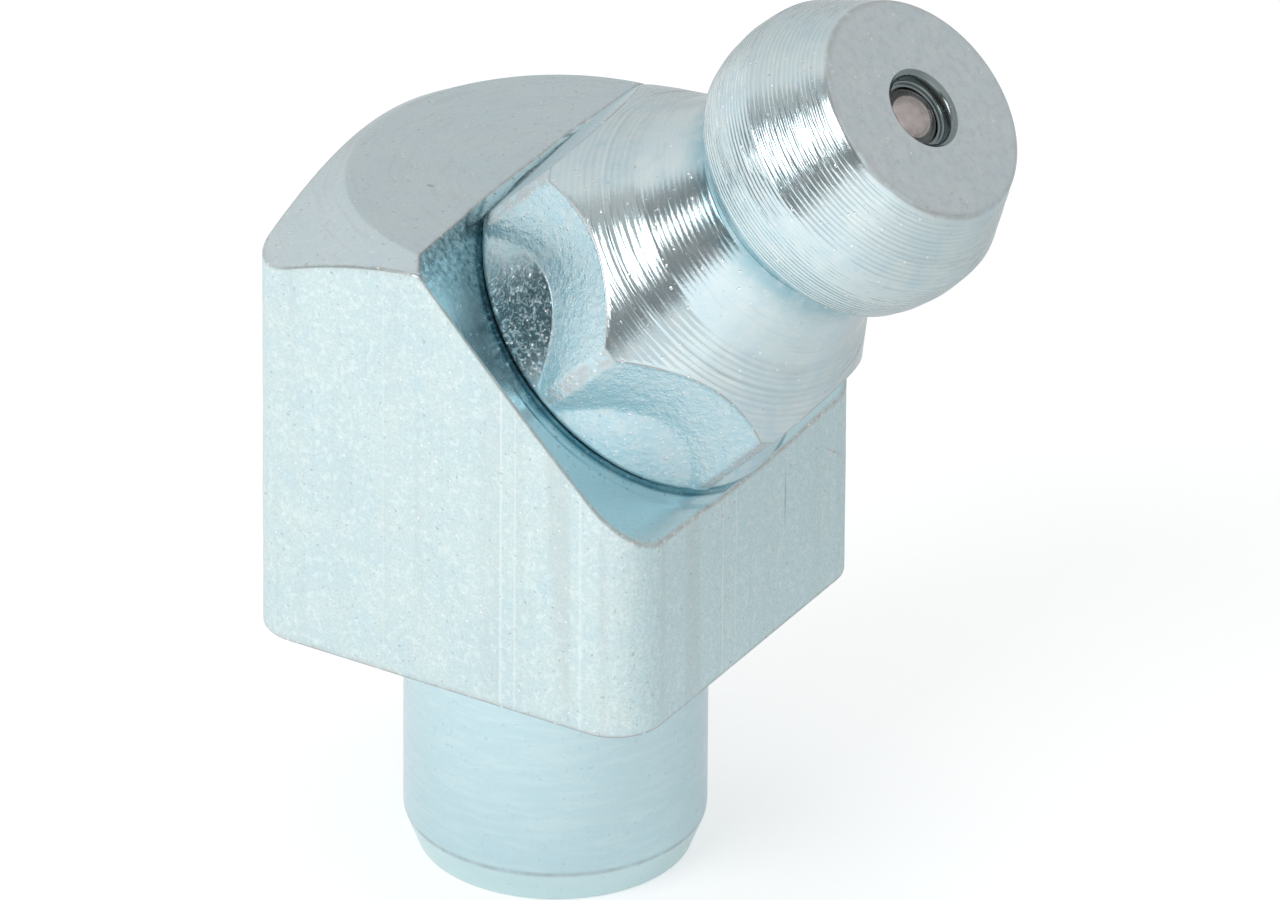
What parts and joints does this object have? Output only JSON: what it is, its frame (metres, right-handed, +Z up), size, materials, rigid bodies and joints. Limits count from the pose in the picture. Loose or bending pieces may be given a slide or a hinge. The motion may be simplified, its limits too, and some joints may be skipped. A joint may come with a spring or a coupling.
{
  "type": "angled grease nipple",
  "caption": "Grease nipple with a square zinc-plated body, a plain drive-in shank and a cone head that leans at 45 degrees, with a sprung check ball.",
  "frame": {"origin": "on the shank's axis, at the shoulder under the square body where the nipple stops on the machine", "axes": "+Z up the shank's axis, away from the machine; the nipple leans towards +X; +Y completes the right-handed frame"},
  "size_m": [0.0142, 0.0088, 0.0202],
  "materials": {
    "body": "bright blue zinc plate on drawn and turned steel",
    "nipple": "bright blue zinc plate on finely turned steel",
    "ball": "polished hard steel",
    "spring": "plain spring wire"
  },
  "bodies": {
    "fitting": {"angle_body": "body", "nipple": "nipple", "ball_spring": "spring"},
    "ball": {"check_ball": "ball"}
  },
  "joints": [
    {"name": "ball_travel", "type": "slide", "parent": "fitting", "child": "ball", "axis": [-0.7071, 0, -0.7071], "range_m": [0, 0.0006], "stiffness_N_per_m": 1900, "springref_m": -0.001, "deforming": ["ball_spring"]}
  ]
}
